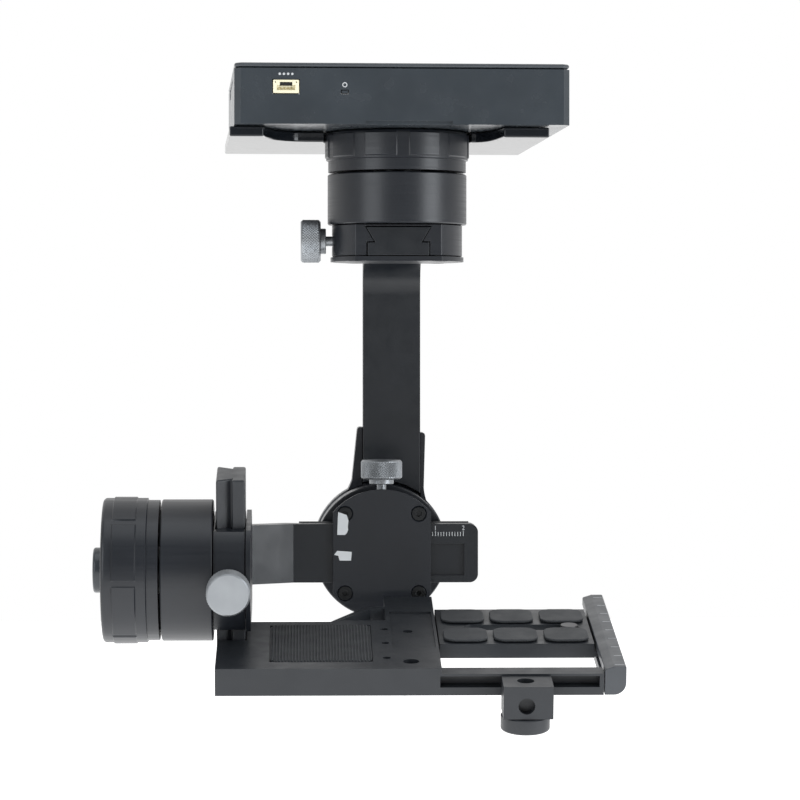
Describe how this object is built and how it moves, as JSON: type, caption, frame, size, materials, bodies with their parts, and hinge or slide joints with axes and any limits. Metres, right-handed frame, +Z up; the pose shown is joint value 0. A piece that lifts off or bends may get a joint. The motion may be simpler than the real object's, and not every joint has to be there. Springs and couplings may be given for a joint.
{
  "type": "gimbal stabilizer",
  "caption": "Motorised three-axis camera gimbal: control box on top, yaw, roll and tilt motors with clamped balance slides, and a slotted camera tray.",
  "frame": {"origin": "on the yaw axis, at the top face of the control box", "axes": "+Z up along the yaw axis, out of the box's top face; -Y towards the front wall with the signal socket; +X towards the tray's graduated end"},
  "size_m": [0.1795, 0.1622, 0.2213],
  "materials": {
    "anodised": "satin black anodised",
    "box_plastic": "fine matte black",
    "rubber_pad": "matte black rubber",
    "knurled_steel": "grey, knurled",
    "screw_steel": "dull machined",
    "cream_plastic": "cream moulded",
    "scale_grey": "satin grey anodised",
    "circuit_board": "green solder mask",
    "core_iron": "laminated",
    "magnet": "nickel plated"
  },
  "bodies": {
    "control_box": {"box_shell": "box_plastic", "box_cover": "box_plastic", "control_board": "circuit_board", "signal_socket": "cream_plastic", "status_lens": "box_plastic", "side_port_bezel": "box_plastic", "slide_plate": "anodised", "yaw_housing": "anodised", "yaw_stator_core": "core_iron", "yaw_inner_bearing": "screw_steel", "yaw_outer_bearing": "screw_steel"},
    "yaw_rotor": {"yaw_barrel": "anodised", "yaw_magnet_ring": "magnet", "yaw_shaft": "screw_steel", "yaw_clamp": "anodised", "yaw_clamp_cover": "anodised"},
    "yaw_knob": {"yaw_knob": "knurled_steel"},
    "yaw_arm": {"yaw_arm": "anodised", "roll_housing": "anodised", "roll_stator_core": "core_iron", "roll_inner_bearing": "screw_steel", "roll_outer_bearing": "screw_steel"},
    "roll_rotor": {"roll_barrel": "anodised", "roll_magnet_ring": "magnet", "roll_shaft": "screw_steel", "roll_clamp": "anodised", "roll_clamp_cover": "anodised", "roll_cover_screw_1": "screw_steel", "roll_cover_screw_2": "screw_steel", "roll_cover_screw_3": "screw_steel", "roll_cover_screw_4": "screw_steel"},
    "roll_knob": {"roll_knob": "knurled_steel"},
    "roll_arm": {"roll_arm": "anodised", "tilt_housing": "anodised", "tilt_stator_core": "core_iron", "tilt_inner_bearing": "screw_steel", "tilt_outer_bearing": "screw_steel", "tilt_end_cap": "box_plastic"},
    "tilt_rotor": {"tilt_barrel": "anodised", "tilt_magnet_ring": "magnet", "tilt_shaft": "screw_steel", "tilt_clamp": "anodised", "tilt_clamp_cover": "anodised"},
    "tilt_knob": {"tilt_knob": "knurled_steel"},
    "tray": {"tray_rail": "anodised", "tray_frame": "anodised", "ribbed_pad": "rubber_pad", "scale_bar": "scale_grey", "tray_lock_screw": "screw_steel"},
    "camera_plate": {"camera_plate": "anodised", "plate_pad_1": "rubber_pad", "plate_pad_2": "rubber_pad", "plate_pad_3": "rubber_pad", "plate_pad_4": "rubber_pad", "plate_pad_5": "rubber_pad", "plate_pad_6": "rubber_pad"},
    "camera_screw": {"camera_screw": "screw_steel"},
    "lens_support": {"lens_support_block": "anodised"},
    "thumb_disc": {"thumb_disc": "anodised"}
  },
  "joints": [
    {"name": "yaw_turn", "type": "hinge", "parent": "control_box", "child": "yaw_rotor", "pos_m": [0, 0, -0.05], "axis": [0, 0, 1], "range_deg": [-320, 320]},
    {"name": "yaw_balance_slide", "type": "slide", "parent": "yaw_rotor", "child": "yaw_arm", "axis": [0.0384, 0.9993, 0], "range_m": [-0.03, 0.008]},
    {"name": "yaw_knob_turn", "type": "hinge", "parent": "yaw_rotor", "child": "yaw_knob", "pos_m": [0, 0, -0.0581], "axis": [-0.9993, 0.0384, 0], "continuous": true},
    {"name": "roll_turn", "type": "hinge", "parent": "yaw_arm", "child": "roll_rotor", "pos_m": [-0.00284, 0.03814, -0.1684], "axis": [0.0384, 0.9993, 0], "range_deg": [-45, 45]},
    {"name": "roll_balance_slide", "type": "slide", "parent": "roll_rotor", "child": "roll_arm", "axis": [0.9993, -0.0384, 0], "range_m": [-0.012, 0.01]},
    {"name": "roll_knob_turn", "type": "hinge", "parent": "roll_rotor", "child": "roll_knob", "pos_m": [-0.00256, 0.04533, -0.1684], "axis": [0, 0, 1], "continuous": true},
    {"name": "tilt_turn", "type": "hinge", "parent": "roll_arm", "child": "tilt_rotor", "pos_m": [-0.05083, -0.01806, -0.1704], "axis": [0.9993, -0.0384, 0], "range_deg": [-56, 84]},
    {"name": "tray_height_slide", "type": "slide", "parent": "tilt_rotor", "child": "tray", "axis": [-0.0073, -0.1907, 0.9816], "range_m": [-0.005, 0.003]},
    {"name": "tilt_knob_turn", "type": "hinge", "parent": "tilt_rotor", "child": "tilt_knob", "pos_m": [-0.05803, -0.01779, -0.1704], "axis": [-0.0377, -0.9809, -0.1908], "continuous": true},
    {"name": "camera_plate_slide", "type": "slide", "parent": "tray", "child": "camera_plate", "axis": [0.0377, 0.9809, 0.1908], "range_m": [-0.0235, 0.0125]},
    {"name": "camera_screw_slide", "type": "slide", "parent": "camera_plate", "child": "camera_screw", "axis": [0.9993, -0.0384, 0], "range_m": [-0.0325, 0]},
    {"name": "lens_support_slide", "type": "slide", "parent": "tray", "child": "lens_support", "axis": [0.9993, -0.0384, 0], "range_m": [0, 0.014]},
    {"name": "thumb_disc_turn", "type": "hinge", "parent": "lens_support", "child": "thumb_disc", "pos_m": [0.03772, -0.06529, -0.21762], "axis": [-0.0073, -0.1907, 0.9816], "continuous": true}
  ]
}
